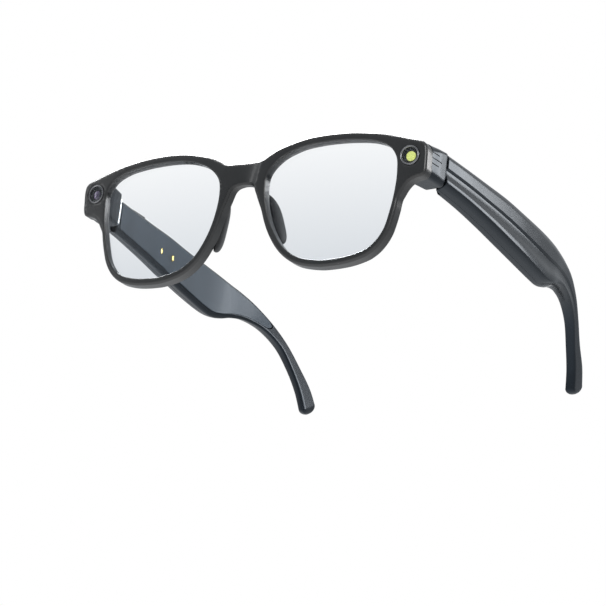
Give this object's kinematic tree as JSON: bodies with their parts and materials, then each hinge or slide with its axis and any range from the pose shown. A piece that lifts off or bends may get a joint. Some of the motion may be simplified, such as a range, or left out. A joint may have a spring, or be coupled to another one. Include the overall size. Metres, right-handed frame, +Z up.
{
  "type": "smart glasses",
  "caption": "Smart glasses: a wrapped spectacle front with clear lenses, a camera and a lamp in its end lugs, and folding electronics temples with down-curved tails.",
  "frame": {"origin": "middle of the bounding box on the surface that the rims and the temple tips stand on", "axes": "+X to the wearer's left, +Y to the rear along the open temples, +Z up"},
  "size_m": [0.1526, 0.1558, 0.0484],
  "materials": {
    "frame_nylon": "satin dark grey moulding",
    "temple_nylon": "satin blue-grey moulding",
    "cover_nylon": "matt blue-grey moulding",
    "lens_clear": "clear, coated",
    "pad_rubber": "matt",
    "trim_metal": "fine turned",
    "black_plastic": "black",
    "port_window": "clear, tinted",
    "coated_optic": "purple coating",
    "lamp_phosphor": "pale yellow",
    "circuit_board": "green",
    "flex_copper": "copper under film",
    "hinge_steel": "polished",
    "battery_foil": "foil pouch",
    "contact_gold": "gold plated"
  },
  "bodies": {
    "front": {"front_frame": "frame_nylon", "brow_cover": "frame_nylon", "front_flex_cable": "flex_copper", "lens_left": "lens_clear", "lens_right": "lens_clear", "nose_pad_left": "pad_rubber", "nose_pad_right": "pad_rubber", "endpiece_left": "frame_nylon", "endpiece_right": "frame_nylon", "lamp_trim_ring": "trim_metal", "lamp_window": "port_window", "lamp_emitter": "lamp_phosphor", "lamp_holder": "black_plastic", "lamp_board": "circuit_board", "camera_trim_ring": "trim_metal", "camera_window": "port_window", "camera_lens_element": "coated_optic", "camera_barrel": "black_plastic", "camera_board": "circuit_board", "frame_hinge_leaf_left": "hinge_steel", "frame_hinge_leaf_right": "hinge_steel", "hinge_pin_left": "hinge_steel", "hinge_pin_right": "hinge_steel", "frame_leaf_screw_upper_left": "hinge_steel", "frame_leaf_screw_upper_right": "hinge_steel", "frame_leaf_screw_lower_left": "hinge_steel", "frame_leaf_screw_lower_right": "hinge_steel"},
    "left_temple": {"temple_hinge_leaf_left": "hinge_steel", "temple_leaf_screw_front_left": "hinge_steel", "temple_leaf_screw_rear_left": "hinge_steel", "temple_shell_left": "temple_nylon", "temple_cover_left": "cover_nylon", "tail_core_left": "hinge_steel", "battery_left": "battery_foil", "speaker_left": "black_plastic", "power_board_left": "circuit_board"},
    "right_temple": {"temple_hinge_leaf_right": "hinge_steel", "temple_leaf_screw_front_right": "hinge_steel", "temple_leaf_screw_rear_right": "hinge_steel", "temple_shell_right": "temple_nylon", "temple_cover_right": "cover_nylon", "tail_core_right": "hinge_steel", "battery_right": "battery_foil", "speaker_right": "black_plastic", "main_board_right": "circuit_board", "touch_board_right": "circuit_board", "charge_contact_front": "contact_gold", "charge_contact_rear": "contact_gold", "button_switch": "black_plastic"},
    "capture_button": {"capture_button": "black_plastic"}
  },
  "joints": [
    {"name": "left_hinge", "type": "hinge", "parent": "front", "child": "left_temple", "pos_m": [0.0672, -0.0577, 0.0372], "axis": [0, 0, 1], "range_deg": [0, 90]},
    {"name": "right_hinge", "type": "hinge", "parent": "front", "child": "right_temple", "pos_m": [-0.0672, -0.0577, 0.0372], "axis": [0, 0, -1], "range_deg": [0, 83]},
    {"name": "button_press", "type": "slide", "parent": "right_temple", "child": "capture_button", "axis": [0, 0, -1], "range_m": [0, 0.0005], "stiffness_N_per_m": 1500, "springref_m": -0.0003}
  ]
}
